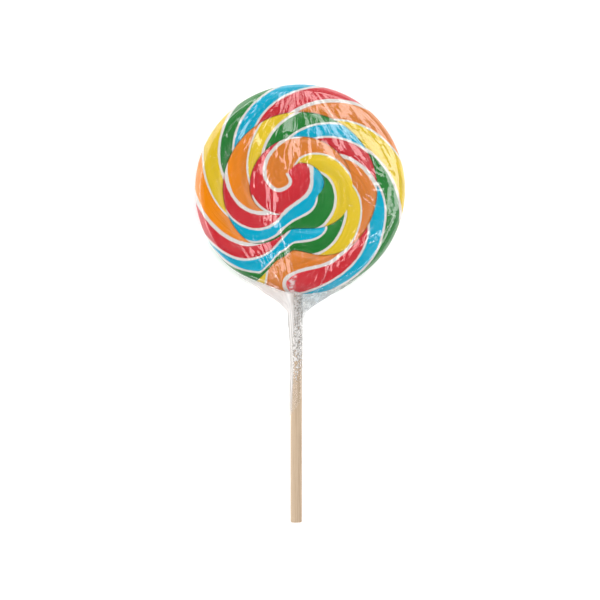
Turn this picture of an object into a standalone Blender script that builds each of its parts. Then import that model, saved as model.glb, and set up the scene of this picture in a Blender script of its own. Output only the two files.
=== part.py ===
# Swirl lollipop: a twisted candy rope wound into a flat disc, on a wooden stick,
# under clear film that is gathered round the stick.
# It lies flat. Metres, +Z up. The origin is on the surface it lies on, under the
# disc's centre, and +Y points from the stick to the far side of the disc.
import bmesh
import bpy
import math

MM = 0.001
GAP = 0.3 * MM                       # clearance between pieces that touch

# Candy disc
DISC_RADIUS = 37.4 * MM
DISC_THICKNESS = 8.0 * MM
RIM_ROUNDING = 4.6 * MM              # how far in from the edge the faces start to turn down
RIM_FLAT_DEPTH = 1.4 * MM            # the rope's tapered tail leaves the edge a little short here
RIM_FLAT_ANGLE = 248.0
RIM_FLAT_SPREAD = 15.0
GROOVE_DEPTH = 0.8 * MM              # between one winding and the next, on both faces
CROWN_POWER = 3.0                    # 2 is a round rope, more is a flatter one
CORE_RADIUS = 0.8 * MM               # inside this the rope's columns meet in one point

# The seam between windings, followed outward from the rope's inner end. Angles are in
# degrees wound clockwise from that end, which lies at SEAM_START_ANGLE round the disc.
SEAM_START_ANGLE = 134.0
SEAM_CENTRE_AT = -180.0              # the ungrooved run from the centre to the seam's start
SEAM_FIRST_LEVEL_AT = 44.0
SEAM_CURL_POWER = 1.48
SEAM_END_AT = 972.0                  # where the seam reaches the edge
SEAM_FADE = 40.0                     # the groove deepens over this first stretch
FIRST_LEVEL = 9.3 * MM
# Each turn is nearly a circle that sags next to the stick and then steps out to the next:
# level reached, step from, step to, sag depth, sag at, sag spread before, sag spread after
TURNS = (
    (18.7 * MM, 213.0, 317.0, 2.7 * MM, 160.0, 31.0, 145.0),
    (27.3 * MM, 593.0, 629.0, 4.7 * MM, 583.0, 44.0, 40.0),
    (DISC_RADIUS, 961.0, SEAM_END_AT, 5.5 * MM, 949.0, 27.0, 10.0),
)
COLUMNS_PER_TURN = 60
ACROSS = (0.0, 0.1, 0.3, 0.55, 0.76, 0.9, 0.975, 1.0)   # samples across one winding

# Stick
STICK_RADIUS = 2.0 * MM
STICK_LENGTH = 114.3 * MM
STICK_X = -1.3 * MM
STICK_TIP_Y = -118.3 * MM            # the free end
STICK_CHAMFER = 0.25 * MM
STICK_SIDES = 28

# Clear film
FILM_WALL = 0.3 * MM
FILM_RADIUS = DISC_RADIUS + GAP + FILM_WALL
FILM_THICKNESS = DISC_THICKNESS + 2 * (GAP + FILM_WALL)
FILM_ROUNDING = 5.0 * MM
FILM_SIDES = 64
FILM_ARC_STEPS = 4                   # facets of the rounded edge, above and below
FUNNEL_START_Y = -33.3 * MM          # the film leaves the disc here
FUNNEL_ROOT_Y = -29.0 * MM           # the funnel's hidden root inside the disc
NECK_Y = -44.3 * MM
NECK_RADIUS = 2.9 * MM
FUNNEL_LEFT = 14.0 * MM              # spread beyond the neck, to each side of the stick
FUNNEL_RIGHT = 16.2 * MM
FUNNEL_LEFT_POWER = 1.5
FUNNEL_RIGHT_POWER = 1.2
FUNNEL_HALF_HEIGHT = 4.5 * MM
FUNNEL_STEPS = 7
TAIL_RADIUS = STICK_RADIUS + GAP + FILM_WALL
TAIL_NARROW_Y = -56.0 * MM           # the neck has narrowed to the tail here
TAIL_END_Y = -75.4 * MM
TAIL_SKEW = 5.3 * MM                 # the tail's end is cut askew, longer on its left
TAIL_SIDES = 22
CUT_OVERRUN = 10.0 * MM

MID_Z = FILM_THICKNESS / 2           # the disc's middle plane and the stick's axis


def clear_scene():
    for item in list(bpy.data.objects):
        bpy.data.objects.remove(item, do_unlink=True)


def make_material(name, color, roughness, metallic=0.0, alpha=1.0):
    material = bpy.data.materials.new(name)
    material.use_nodes = True
    shader = material.node_tree.nodes["Principled BSDF"]
    shader.inputs["Base Color"].default_value = (*color, 1.0)
    shader.inputs["Roughness"].default_value = roughness
    shader.inputs["Metallic"].default_value = metallic
    shader.inputs["Alpha"].default_value = alpha
    return material


def smooth_step(value):
    value = min(1.0, max(0.0, value))
    return value * value * (3.0 - 2.0 * value)


def bell(offset, spread):
    return math.exp(-(offset / spread) ** 2)


def finish_object(name, mesh_data, material, smooth_angle=40.0):
    """Turns a bmesh into a named, smooth-shaded object with one material."""
    bmesh.ops.recalc_face_normals(mesh_data, faces=mesh_data.faces)
    mesh = bpy.data.meshes.new(name)
    mesh_data.to_mesh(mesh)
    mesh_data.free()
    if material is not None:
        mesh.materials.append(material)
    mesh.shade_smooth()
    mesh.set_sharp_from_angle(angle=math.radians(smooth_angle))
    item = bpy.data.objects.new(name, mesh)
    bpy.context.scene.collection.objects.link(item)
    return item


def add_boolean(item, name, operation, cutter):
    """Adds an exact Boolean and hides the other solid, which is only a tool for it."""
    modifier = item.modifiers.new(name, "BOOLEAN")
    modifier.operation = operation
    modifier.solver = "EXACT"
    modifier.object = cutter
    cutter.hide_render = True
    cutter.display_type = "WIRE"


# ---- Candy ----

def rim_radius(angle):
    """The disc's edge at an angle in degrees, short where the rope's tail tapers away."""
    offset = (angle - RIM_FLAT_ANGLE + 180.0) % 360.0 - 180.0
    return DISC_RADIUS - RIM_FLAT_DEPTH * bell(offset, RIM_FLAT_SPREAD)


def seam_radius(wound):
    """The seam's distance from the centre, at an angle wound outward from its start."""
    if wound < SEAM_FIRST_LEVEL_AT:
        curl = (wound - SEAM_CENTRE_AT) / (SEAM_FIRST_LEVEL_AT - SEAM_CENTRE_AT)
        return FIRST_LEVEL * curl ** SEAM_CURL_POWER
    radius = FIRST_LEVEL
    level_below = FIRST_LEVEL
    for level, step_from, step_to, sag, sag_at, spread_before, spread_after in TURNS:
        radius += (level - level_below) * smooth_step((wound - step_from) / (step_to - step_from))
        spread = spread_before if wound < sag_at else spread_after
        radius -= sag * bell(wound - sag_at, spread)
        level_below = level
    return radius


def groove_depth(wound):
    return GROOVE_DEPTH * smooth_step(wound / SEAM_FADE)


def column_angle(column):
    wound = SEAM_CENTRE_AT + column * 360.0 / COLUMNS_PER_TURN
    return wound, SEAM_START_ANGLE - wound


def candy_half_height(radius, angle, across, inner_groove, outer_groove):
    """Half the disc's thickness: a crowned rope, less the turned-down edge."""
    side = abs(2.0 * across - 1.0) ** CROWN_POWER
    groove = inner_groove if across < 0.5 else outer_groove
    height = DISC_THICKNESS / 2 - side * groove
    inward = (rim_radius(angle) - radius) / RIM_ROUNDING
    if inward < 1.0:
        height *= math.sqrt(max(0.0, 1.0 - (1.0 - inward) ** 2))
    return height


def build_candy(material):
    """Lofts the rope column by column along its seam, so that each groove is an edge."""
    mesh_data = bmesh.new()
    last_column = round((SEAM_END_AT - SEAM_CENTRE_AT) * COLUMNS_PER_TURN / 360.0)
    first_rim_column = last_column - COLUMNS_PER_TURN
    last_sample = len(ACROSS) - 1
    made = {}

    def boundary_key(column):
        if column <= 0:
            return "centre"
        if column >= last_column:
            return ("rim", (column - last_column) % COLUMNS_PER_TURN)
        return ("seam", column)

    def sample(column, index, face):
        """Returns the vertex at one sample of one column, on the upper or lower face."""
        wound, angle = column_angle(column)
        inner_wound = wound
        outer_wound = wound + 360.0
        inner = seam_radius(inner_wound) if column > 0 else 0.0
        outer = seam_radius(outer_wound) if column < first_rim_column else rim_radius(angle)
        inner = min(inner, rim_radius(angle))
        outer = min(outer, rim_radius(angle))
        if column >= last_column:
            inner = outer
        across = ACROSS[index]
        radius = inner + (outer - inner) * across
        if index == 0:
            key = boundary_key(column)
        elif index == last_sample:
            key = boundary_key(column + COLUMNS_PER_TURN)
        elif column >= last_column:
            key = boundary_key(column)
        else:
            key = ("between", column, index)
        if radius < CORE_RADIUS:
            key = "centre"
            radius = 0.0
        if key[0] != "rim":
            key = (key, face)
        if key not in made:
            inner_groove = groove_depth(inner_wound)
            outer_groove = groove_depth(outer_wound) if column < first_rim_column else 0.0
            height = candy_half_height(radius, angle, across, inner_groove, outer_groove)
            if key[0] == "rim":
                height = 0.0
            turn = math.radians(angle)
            made[key] = mesh_data.verts.new((
                radius * math.cos(turn), radius * math.sin(turn), MID_Z + face * height))
        return made[key]

    for face in (1, -1):
        for column in range(-COLUMNS_PER_TURN, last_column):
            for index in range(last_sample):
                corners = [sample(column, index, face), sample(column, index + 1, face),
                           sample(column + 1, index + 1, face), sample(column + 1, index, face)]
                distinct = list(dict.fromkeys(corners))
                if len(distinct) >= 3 and mesh_data.faces.get(distinct) is None:
                    mesh_data.faces.new(distinct)
    return finish_object("candy", mesh_data, material, 60.0)


# ---- Stick ----

def build_rod(name, radius, start_y, end_y, chamfer, material):
    """A round rod along Y with chamfered ends."""
    mesh_data = bmesh.new()
    profile = ((start_y, radius - chamfer), (start_y + chamfer, radius),
               (end_y - chamfer, radius), (end_y, radius - chamfer))
    rings = []
    for y, ring_radius in profile:
        ring = []
        for side in range(STICK_SIDES):
            turn = 2.0 * math.pi * side / STICK_SIDES
            ring.append(mesh_data.verts.new((
                STICK_X + ring_radius * math.cos(turn), y, MID_Z + ring_radius * math.sin(turn))))
        rings.append(ring)
    bridge_rings(mesh_data, rings)
    return finish_object(name, mesh_data, material)


def bridge_rings(mesh_data, rings):
    """Skins a row of equal rings and caps both ends."""
    count = len(rings[0])
    for near, far in zip(rings, rings[1:]):
        for side in range(count):
            after = (side + 1) % count
            mesh_data.faces.new((near[side], near[after], far[after], far[side]))
    mesh_data.faces.new(list(reversed(rings[0])))
    mesh_data.faces.new(rings[-1])


# ---- Film ----

def build_film_disc(name, inset, material):
    """The film over the disc: two flat faces and a rounded edge, drawn in by an inset."""
    mesh_data = bmesh.new()
    flat_radius = FILM_RADIUS - FILM_ROUNDING
    edge_reach = FILM_ROUNDING - inset
    half_height = FILM_THICKNESS / 2 - inset
    rings = []
    for step in range(-FILM_ARC_STEPS, FILM_ARC_STEPS + 1):
        turn = math.pi / 2 * step / FILM_ARC_STEPS
        ring_radius = flat_radius + edge_reach * math.cos(turn)
        height = MID_Z + half_height * math.sin(turn)
        ring = []
        for side in range(FILM_SIDES):
            around = 2.0 * math.pi * side / FILM_SIDES
            ring.append(mesh_data.verts.new((
                ring_radius * math.cos(around), ring_radius * math.sin(around), height)))
        rings.append(ring)
    bridge_rings(mesh_data, rings)
    return finish_object(name, mesh_data, material)


def tail_section(y):
    """Half-widths to the left and right of the stick, and the half-height, at one place."""
    if y < NECK_Y:
        narrowing = smooth_step((NECK_Y - y) / (NECK_Y - TAIL_NARROW_Y))
        radius = NECK_RADIUS + (TAIL_RADIUS - NECK_RADIUS) * narrowing
        return radius, radius, radius
    rise = min(1.0, (y - NECK_Y) / (FUNNEL_START_Y - NECK_Y))
    left = NECK_RADIUS + FUNNEL_LEFT * rise ** FUNNEL_LEFT_POWER
    right = NECK_RADIUS + FUNNEL_RIGHT * rise ** FUNNEL_RIGHT_POWER
    height = NECK_RADIUS + (FUNNEL_HALF_HEIGHT - NECK_RADIUS) * rise
    return left, right, height


def build_film_tail(name, inset, overrun, material):
    """The funnel from the disc to the stick, and the tail round the stick."""
    mesh_data = bmesh.new()
    places = [FUNNEL_ROOT_Y]
    for step in range(FUNNEL_STEPS + 1):
        places.append(FUNNEL_START_Y + (NECK_Y - FUNNEL_START_Y) * step / FUNNEL_STEPS)
    places += [(NECK_Y + TAIL_NARROW_Y) / 2, TAIL_NARROW_Y, TAIL_END_Y]
    rings = []
    for y in places:
        left, right, height = tail_section(y)
        is_end = y == TAIL_END_Y
        ring = []
        for side in range(TAIL_SIDES):
            turn = 2.0 * math.pi * side / TAIL_SIDES
            reach = (right if math.cos(turn) > 0 else left) - inset
            end_shift = TAIL_SKEW * math.cos(turn) - overrun if is_end else 0.0
            ring.append(mesh_data.verts.new((
                STICK_X + reach * math.cos(turn), y + end_shift,
                MID_Z + (height - inset) * math.sin(turn))))
        rings.append(ring)
    bridge_rings(mesh_data, rings)
    return finish_object(name, mesh_data, material)


def build_wrapper(material):
    """A thin shell: the film's outer form less the same form drawn in by the wall."""
    wrapper = build_film_disc("wrapper", 0.0, material)
    add_boolean(wrapper, "tail", "UNION", build_film_tail("tool_tail", 0.0, 0.0, None))
    add_boolean(wrapper, "hollow_disc", "DIFFERENCE",
                build_film_disc("tool_hollow_disc", FILM_WALL, None))
    add_boolean(wrapper, "hollow_tail", "DIFFERENCE",
                build_film_tail("tool_hollow_tail", FILM_WALL, CUT_OVERRUN, None))
    return wrapper


def main():
    clear_scene()
    candy_material = make_material("boiled_sugar", (0.80, 0.19, 0.03), 0.12)
    wood_material = make_material("birch", (0.68, 0.52, 0.37), 0.6)
    film_material = make_material("clear_film", (0.95, 0.96, 0.97), 0.08, alpha=0.2)

    candy = build_candy(candy_material)
    stick_top = STICK_TIP_Y + STICK_LENGTH
    build_rod("stick", STICK_RADIUS, STICK_TIP_Y, stick_top, STICK_CHAMFER, wood_material)
    bore = build_rod("tool_bore", STICK_RADIUS + GAP, -DISC_RADIUS - CUT_OVERRUN,
                     stick_top + GAP, STICK_CHAMFER, None)
    add_boolean(candy, "bore", "DIFFERENCE", bore)
    build_wrapper(film_material)


main()
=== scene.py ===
import math

import bpy
import numpy as np
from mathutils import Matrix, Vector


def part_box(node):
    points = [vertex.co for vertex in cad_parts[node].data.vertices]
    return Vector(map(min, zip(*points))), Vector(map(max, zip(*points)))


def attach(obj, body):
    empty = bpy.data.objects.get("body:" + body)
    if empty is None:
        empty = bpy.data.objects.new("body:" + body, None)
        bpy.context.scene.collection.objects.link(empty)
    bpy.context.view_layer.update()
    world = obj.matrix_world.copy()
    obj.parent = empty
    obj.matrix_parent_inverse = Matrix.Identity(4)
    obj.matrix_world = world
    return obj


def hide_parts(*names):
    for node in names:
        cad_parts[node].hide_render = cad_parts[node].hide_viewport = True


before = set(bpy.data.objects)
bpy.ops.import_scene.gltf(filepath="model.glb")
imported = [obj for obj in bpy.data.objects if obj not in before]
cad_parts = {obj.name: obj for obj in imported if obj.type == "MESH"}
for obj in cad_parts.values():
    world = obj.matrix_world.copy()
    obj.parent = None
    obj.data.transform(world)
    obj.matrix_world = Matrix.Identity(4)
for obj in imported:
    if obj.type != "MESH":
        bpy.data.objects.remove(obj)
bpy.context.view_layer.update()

# sizes below are in millimetres and angles in degrees, unless a note says otherwise
mm = 0.001
candyLow, candyHigh = (np.array(corner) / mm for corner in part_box("candy"))
stickLow, stickHigh = (np.array(corner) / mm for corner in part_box("stick"))
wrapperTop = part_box("wrapper")[1][2] / mm
discRadius = candyHigh[0]
midHeight = (candyLow[2] + candyHigh[2]) / 2
stickX = (stickLow[0] + stickHigh[0]) / 2


def clearSelection():
    if bpy.context.object and bpy.context.object.mode != "OBJECT":
        bpy.ops.object.mode_set(mode="OBJECT")
    bpy.ops.object.select_all(action="DESELECT")


def selectOnly(piece):
    clearSelection()
    piece.select_set(True)
    bpy.context.view_layer.objects.active = piece


def readPoints(piece):
    flat = np.empty(len(piece.data.vertices) * 3)
    piece.data.vertices.foreach_get("co", flat)
    return flat.reshape(-1, 3)


def addSheet(name, across, along):
    # a flat grid, whose points are then moved to their places
    clearSelection()
    bpy.ops.mesh.primitive_grid_add(x_subdivisions=along, y_subdivisions=across, size=1.0)
    sheet = bpy.context.object
    sheet.name = name
    points = readPoints(sheet)
    return sheet, points[:, 0] + 0.5, points[:, 1] + 0.5


def placePoints(piece, x, y, z):
    flat = np.column_stack((x, y, z)) * mm
    piece.data.vertices.foreach_set("co", flat.ravel())
    piece.data.update()


def writeMap(piece, name, u, v):
    # keeps two numbers of every point in a UV map, to steer a pattern
    layer = piece.data.uv_layers.get(name) or piece.data.uv_layers.new(name=name)
    corner = np.empty(len(piece.data.loops), dtype=np.int32)
    piece.data.loops.foreach_get("vertex_index", corner)
    layer.data.foreach_set("uv", np.column_stack((u[corner], v[corner])).ravel())


def mergeDoubles(piece, distance, sliver=0.0):
    selectOnly(piece)
    bpy.ops.object.mode_set(mode="EDIT")
    bpy.ops.mesh.select_all(action="SELECT")
    bpy.ops.mesh.remove_doubles(threshold=distance * mm)
    if sliver:
        bpy.ops.mesh.dissolve_degenerate(threshold=sliver * mm)
    bpy.ops.mesh.normals_make_consistent(inside=False)
    bpy.ops.object.mode_set(mode="OBJECT")


def joinPieces(pieces):
    clearSelection()
    for piece in pieces:
        piece.select_set(True)
    bpy.context.view_layer.objects.active = pieces[0]
    bpy.ops.object.join()
    return pieces[0]


def finishPiece(piece, sharpAngle, material):
    selectOnly(piece)
    bpy.ops.object.shade_smooth_by_angle(angle=math.radians(sharpAngle))
    piece.data.materials.clear()
    piece.data.materials.append(material)


def easeStep(value):
    value = np.clip(value, 0.0, 1.0)
    return value * value * (3.0 - 2.0 * value)


def easeFrom(value, start, over):
    # from 0 at start to 1 a little further, or a little lower if over is negative
    return easeStep((value - start) / over)


def bell(offset):
    return np.exp(-offset * offset)


def linear(hexColour, alpha=1.0):
    channels = []
    for place in (1, 3, 5):
        value = int(hexColour[place:place + 2], 16) / 255
        channels.append(value / 12.92 if value <= 0.04045 else ((value + 0.055) / 1.055) ** 2.4)
    return (*channels, alpha)


def newMaterial(name):
    material = bpy.data.materials.new(name)
    material.use_nodes = True
    material.node_tree.nodes.clear()
    return material, material.node_tree


def addNode(tree, kind, settings=None, **inputs):
    # an input is a socket's name with _ for a space, or in and its number;
    # a node or a socket is linked to it, and anything else is set
    node = tree.nodes.new("ShaderNode" + kind)
    for key, value in (settings or {}).items():
        setattr(node, key, value)
    for key, value in inputs.items():
        numbered = key.startswith("in") and key[2:].isdigit()
        socket = node.inputs[int(key[2:]) if numbered else key.replace("_", " ")]
        if isinstance(value, bpy.types.Node):
            value = value.outputs[0]
        if isinstance(value, bpy.types.NodeSocket):
            tree.links.new(value, socket)
        else:
            socket.default_value = value
    return node


def fillRamp(node, stops, interpolation):
    ramp = node.color_ramp
    ramp.interpolation = interpolation
    while len(ramp.elements) < len(stops):
        ramp.elements.new(0.5)
    for element, (place, colour) in zip(ramp.elements, stops):
        element.position = place
        element.color = colour


# the camera looks straight down; these sizes are in millimetres
view = {
    "height": 900.0,
    "width": 214.3,        # of the floor that it takes in
    "middle": -39.3,
    "sensor": 36.0,
}
# floor and lights, in metres
studio = {
    "floor": "#FBFBFA",
    "floorSize": 6.0,
    "floorDrop": 0.0002,
    "floorGlow": 0.4,
    "worldStrength": 0.56,
    "boxRadiance": 2.36,
    "boxDistance": 0.8,
    # name, off straight above, round from the right, width, length, share of the radiance
    "boxes": (
        ("big softbox", 24.0, 32.0, 0.5, 0.8, 1.25),
        ("key softbox", 70.0, 165.0, 1.0, 1.8, 0.4),
        ("right strip", 33.0, 322.0, 0.08, 0.5, 1.4),
        ("left strip", 51.0, 182.0, 0.11, 0.5, 1.4),
        ("upper right strip", 51.0, 38.0, 0.13, 0.4, 1.7),
        ("top left strip", 51.0, 125.0, 0.1, 0.3, 1.9),
        ("low strip", 52.0, 265.0, 0.12, 0.5, 1.6),
    ),
    # pale walls under a dark ceiling: how far up one looks, and the grey there
    "walls": ((0.0, 0.9), (0.6, 0.6), (0.86, 0.03)),
}


def addCamera():
    data = bpy.data.cameras.new("camera")
    data.sensor_width = view["sensor"]
    data.lens = view["sensor"] * view["height"] / view["width"]
    camera = bpy.data.objects.new("camera", data)
    camera.location = (0.0, view["middle"] * mm, view["height"] * mm)
    bpy.context.scene.collection.objects.link(camera)
    bpy.context.scene.camera = camera
    bpy.context.scene.view_settings.view_transform = "Standard"


def mattPaperMaterial():
    # a matt paper sweep, lit a little from behind so that it stays plain white
    material, tree = newMaterial("matt paper sweep")
    shader = addNode(tree, "BsdfPrincipled", Base_Color=linear(studio["floor"]), Roughness=0.9,
                     Emission_Color=(1.0, 1.0, 1.0, 1.0), Emission_Strength=studio["floorGlow"])
    addNode(tree, "OutputMaterial", Surface=shader)
    return material


def addFloor():
    clearSelection()
    bpy.ops.mesh.primitive_plane_add(size=studio["floorSize"], location=(0, 0, -studio["floorDrop"]))
    floor = bpy.context.object
    floor.name = "floor"
    floor.data.materials.append(mattPaperMaterial())


def addRoom():
    world = bpy.data.worlds.new("soft room")
    world.use_nodes = True
    tree = world.node_tree
    look = addNode(tree, "SeparateXYZ", Vector=addNode(tree, "TexCoord").outputs["Generated"])
    walls = addNode(tree, "ValToRGB", Fac=look.outputs[2])
    fillRamp(walls, [(place, (grey, grey, grey, 1.0)) for place, grey in studio["walls"]], "EASE")
    background = tree.nodes["Background"]
    background.inputs["Strength"].default_value = studio["worldStrength"]
    tree.links.new(walls.outputs[0], background.inputs["Color"])
    bpy.context.scene.world = world


def addSoftbox(name, tilt, azimuth, width, length, share):
    # tilt is off straight above and azimuth round from +X; it faces the disc
    data = bpy.data.lights.new(name, "AREA")
    data.shape = "RECTANGLE"
    data.size = width
    data.size_y = length
    data.energy = studio["boxRadiance"] * share * math.pi * width * length
    light = bpy.data.objects.new(name, data)
    lean = math.radians(tilt)
    turn = math.radians(azimuth)
    out = studio["boxDistance"] * math.sin(lean)
    light.location = (out * math.cos(turn), out * math.sin(turn), studio["boxDistance"] * math.cos(lean))
    light.rotation_euler = (0.0, lean, turn)
    light.visible_camera = False
    bpy.context.scene.collection.objects.link(light)


addCamera()
addFloor()
addRoom()
for softbox in studio["boxes"]:
    addSoftbox(*softbox)
print("camera, floor and light")


# the wound rope; places along it are in degrees wound clockwise from its inner end
candy = {
    "rimRounding": 4.6,
    "rimFlat": (1.4, 248.0, 15.0),      # depth, angle, spread
    "groove": 0.6,
    "grooveFade": 40.0,
    "crown": 5.0,
    "unevenness": 0.06,
    "seamStart": 134.0,                 # angle of the rope's inner end
    "centreAt": -180.0,
    "firstLevelAt": 44.0,
    "curl": 1.48,
    "seamEnd": 972.0,
    "firstLevel": 9.3,
    # level reached, step from, step to, sag, sag at, sag spread before and after
    "turns": (
        (18.7, 213.0, 317.0, 2.7, 160.0, 31.0, 145.0),
        (27.3, 593.0, 629.0, 4.7, 583.0, 44.0, 40.0),
        (37.4, 961.0, 972.0, 5.5, 949.0, 27.0, 10.0),
    ),
    "columnsPerTurn": 300,
    "rowsAcross": 24,
    "edgeCrowding": 0.55,               # how far rows crowd towards the seams
    "sharpAngle": 50.0,
    # where each white line crosses a winding's inner edge, middle and outer edge
    "lines": (
        (33, 70, 122), (95, 145, 197), (160, 236, 272), (258, 267, 297), (278, 300, 330),
        (321, 352, 374), (358, 381, 403), (392, 415, 437), (420, 443, 465), (455, 473, 493),
        (490, 512, 546), (520, 546, 571), (549, 576, 640), (598, 618, 648), (623, 646, 671),
        (653, 675, 697), (683, 702, 726), (704, 725, 753), (729, 750, 777), (759, 780, 804),
        (790, 813, 838), (823, 846, 871), (850, 876, 925), (881, 906, 946), (905, 947, 950),
        (966, 965, 964),
    ),
    # where a line leaves that rule: its number, across the rope, degrees further on
    "bends": ((1, 0.75, 6), (2, 0.82, -12), (22, 0.8, -6), (24, 0.25, -7)),
    "bendSpread": 0.16,
    # a short extra fold of white on the outside of the middle: from, to, half width
    "foldLine": (262.0, 308.0, 0.5),
    # stretches where the windings have melted together: from, to
    "fused": ((132.0, 270.0), (474.0, 530.0)),
    "fusedFade": 14.0,
    # the two lines that curl up in the middle, from outside in
    "curlLine": ((0.3, 18.8), (-4.6, 17.8), (-8.9, 14.5), (-12.0, 9.8), (-12.4, 4.5),
                 (-10.1, 0.8), (-7.9, -0.4), (-5.8, 0.0), (-4.0, 1.2), (-3.4, 2.9), (-4.5, 5.3)),
    "hookLine": ((-6.3, -9.2), (-3.8, -6.8), (0.0, -4.1), (2.0, -2.5), (3.4, -0.6), (4.0, 1.4),
                 (4.2, 4.5), (4.0, 7.6), (3.2, 8.6)),
    "curlClosesAt": 4.5,
    "curlStartsAt": 80.0,
    "hookEndsAt": -30.0,
    "hookWidening": 0.55,
    "coreSpan": 10.0,                   # for one step of colour in the middle
    # on the back: the lines' lean at some places, and how far and until where they are turned
    "backLean": ((100.0, 300.0, 1000.0), (90.0, 55.0, 45.0)),
    "backTurn": (17.0, 590.0, 22.0),
    # yellow, green, blue, red, orange, and the white line before each, as half widths
    "colours": ("#EFCF30", "#2A8639", "#08B4D6", "#D8363F", "#E58636"),
    "lineHalves": (0.31, 0.45, 0.37, 0.35, 0.62),
    "white": "#E8E3DF",
    # the same colours, a little changed further to the left
    "sideColours": ("#E8C62A", "#2A8038", "#08AACE", "#D5303A", "#FA920E"),
    "sideFrom": (15.0, 29.0),
    "wanderSize": 7.0,
    "fraySize": 1.3,
    "lineSwelling": (0.9, 0.55),        # gain and offset on the noise
    "lineFray": (0.3, -0.15),
    "lineEdge": (-0.07, 0.09),
    "seamShade": (0.34, 0.45),          # reach and darkest share
    "streakSize": 16.6667,
    "streaksPerColour": 9.0,
    "streakTones": (0.88, 1.12),
    "rippleDepth": 0.4,
}


def seamRadius(wound):
    curl = (wound - candy["centreAt"]) / (candy["firstLevelAt"] - candy["centreAt"])
    inside = candy["firstLevel"] * np.clip(curl, 0.0, 1.0) ** candy["curl"]
    radius = np.full_like(wound, candy["firstLevel"])
    below = candy["firstLevel"]
    for level, stepFrom, stepTo, sag, sagAt, spreadBefore, spreadAfter in candy["turns"]:
        radius += (level - below) * easeFrom(wound, stepFrom, stepTo - stepFrom)
        spread = np.where(wound < sagAt, spreadBefore, spreadAfter)
        radius -= sag * bell((wound - sagAt) / spread)
        below = level
    return np.where(wound < candy["firstLevelAt"], inside, radius)


def rimRadius(angle):
    depth, at, spread = candy["rimFlat"]
    return discRadius - depth * bell(((angle - at + 180.0) % 360.0 - 180.0) / spread)


def windingPlace(wound, across):
    # radius and angle of a place on the rope
    angle = candy["seamStart"] - wound
    rim = rimRadius(angle)
    inner = np.where(wound > candy["centreAt"], np.minimum(seamRadius(wound), rim), 0.0)
    lastRim = wound + 360.0 >= candy["seamEnd"] - 1e-6
    outer = np.where(lastRim, rim, np.minimum(seamRadius(wound + 360.0), rim))
    inner = np.where(wound >= candy["seamEnd"] - 1e-6, outer, inner)
    return inner + (outer - inner) * across, angle, inner, outer, lastRim


def smoothRoute(corners, steps):
    # a rounded line through a few points
    points = np.array(corners)
    ends = np.vstack((2 * points[0] - points[1], points, 2 * points[-1] - points[-2]))
    route = []
    for first in range(len(points) - 1):
        a, b, c, d = ends[first:first + 4]
        for step in range(steps):
            t = step / steps
            route.append(0.5 * (2 * b + (c - a) * t + (2 * a - 5 * b + 4 * c - d) * t * t
                                + (3 * b - a - 3 * c + d) * t ** 3))
    route.append(points[-1])
    return np.array(route)


def sideDistance(x, y, corners):
    # distance from a line, positive on its left as one walks along it
    route = smoothRoute(corners, 6)
    best = np.full_like(x, 1e9)
    side = np.zeros_like(x)
    for start, end in zip(route, route[1:]):
        run = end - start
        offX = x - start[0]
        offY = y - start[1]
        part = np.clip((offX * run[0] + offY * run[1]) / (run @ run), 0.0, 1.0)
        gap = np.hypot(offX - run[0] * part, offY - run[1] * part)
        side = np.where(gap < best - 1e-9, np.sign(run[0] * offY - run[1] * offX), side)
        best = np.minimum(best, gap)
    return best * side


def steadyCurve(wound, places):
    # a smooth rising curve that passes whole numbers at the given places
    count = len(places)
    slopes = 1.0 / np.diff(places)
    tilt = np.empty(count)
    tilt[1:-1] = 2 * slopes[1:] * slopes[:-1] / (slopes[1:] + slopes[:-1])
    tilt[0], tilt[-1] = slopes[0], slopes[-1]
    index = np.clip(np.searchsorted(places, wound) - 1, 0, count - 2)
    span = places[index + 1] - places[index]
    t = (wound - places[index]) / span
    bow = (1 - t) * tilt[index] - t * tilt[index + 1]
    inside = index + t * t * (3 - 2 * t) + span * t * (1 - t) * bow
    before = tilt[0] * (wound - places[0])
    after = count - 1 + tilt[-1] * (wound - places[-1])
    return np.where(wound < places[0], before, np.where(wound > places[-1], after, inside))


def lineCrossings(across, onBack):
    # where the white lines stand at one place across the rope
    inner, middle, outer = np.array(candy["lines"], dtype=float).T
    if onBack:
        turn, turnEnds, turnFade = candy["backTurn"]
        lean = np.interp(outer, *candy["backLean"])
        return outer + turn * (1 - easeFrom(outer, turnEnds, turnFade)) + lean * (1 - across)
    crossings = (inner * 2 * (across - 0.5) * (across - 1) - middle * 4 * across * (across - 1)
                 + outer * 2 * across * (across - 0.5))
    for line, place, shift in candy["bends"]:
        crossings[line] += shift * bell((across - place) / candy["bendSpread"])
    return crossings


def stripePhase(wound, across, x, y, onBack):
    # whole numbers are white lines, and each colour lies between two of them
    phase = np.empty_like(wound)
    for row in np.unique(across):
        here = across == row
        phase[here] = steadyCurve(wound[here], lineCrossings(row, onBack))
    outsideCore = wound >= candy["centreAt"]
    rope = np.where(outsideCore, np.maximum(phase, -0.5), -0.5)
    span = candy["coreSpan"]
    curlGap = sideDistance(x, y, candy["curlLine"])
    hookGap = -sideDistance(x, y, candy["hookLine"])
    closing = outsideCore & (wound > candy["curlClosesAt"]) & (across < 0.5)
    curlGap = np.where(closing, np.abs(curlGap) + 2 * (wound - candy["curlClosesAt"]), curlGap)
    hookGap = np.where(outsideCore & (wound > candy["hookEndsAt"]), -span, hookGap)
    core = -1.5 + np.clip(curlGap / span + 0.5, 0, 1) - np.clip(hookGap / span + 0.5, 0, 1)
    core = np.where(outsideCore & (wound > candy["curlStartsAt"]), -0.5, core)
    return np.minimum(core, -0.5) + rope + 0.5


def seamOpening(wound):
    # 1 where the seam is open and 0 where it has melted shut
    fade = candy["fusedFade"]
    opening = easeStep(wound / candy["grooveFade"])
    for start, end in candy["fused"]:
        opening = opening * (1 - easeFrom(wound, start, fade) * easeFrom(wound, end, -fade))
    return opening


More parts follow.
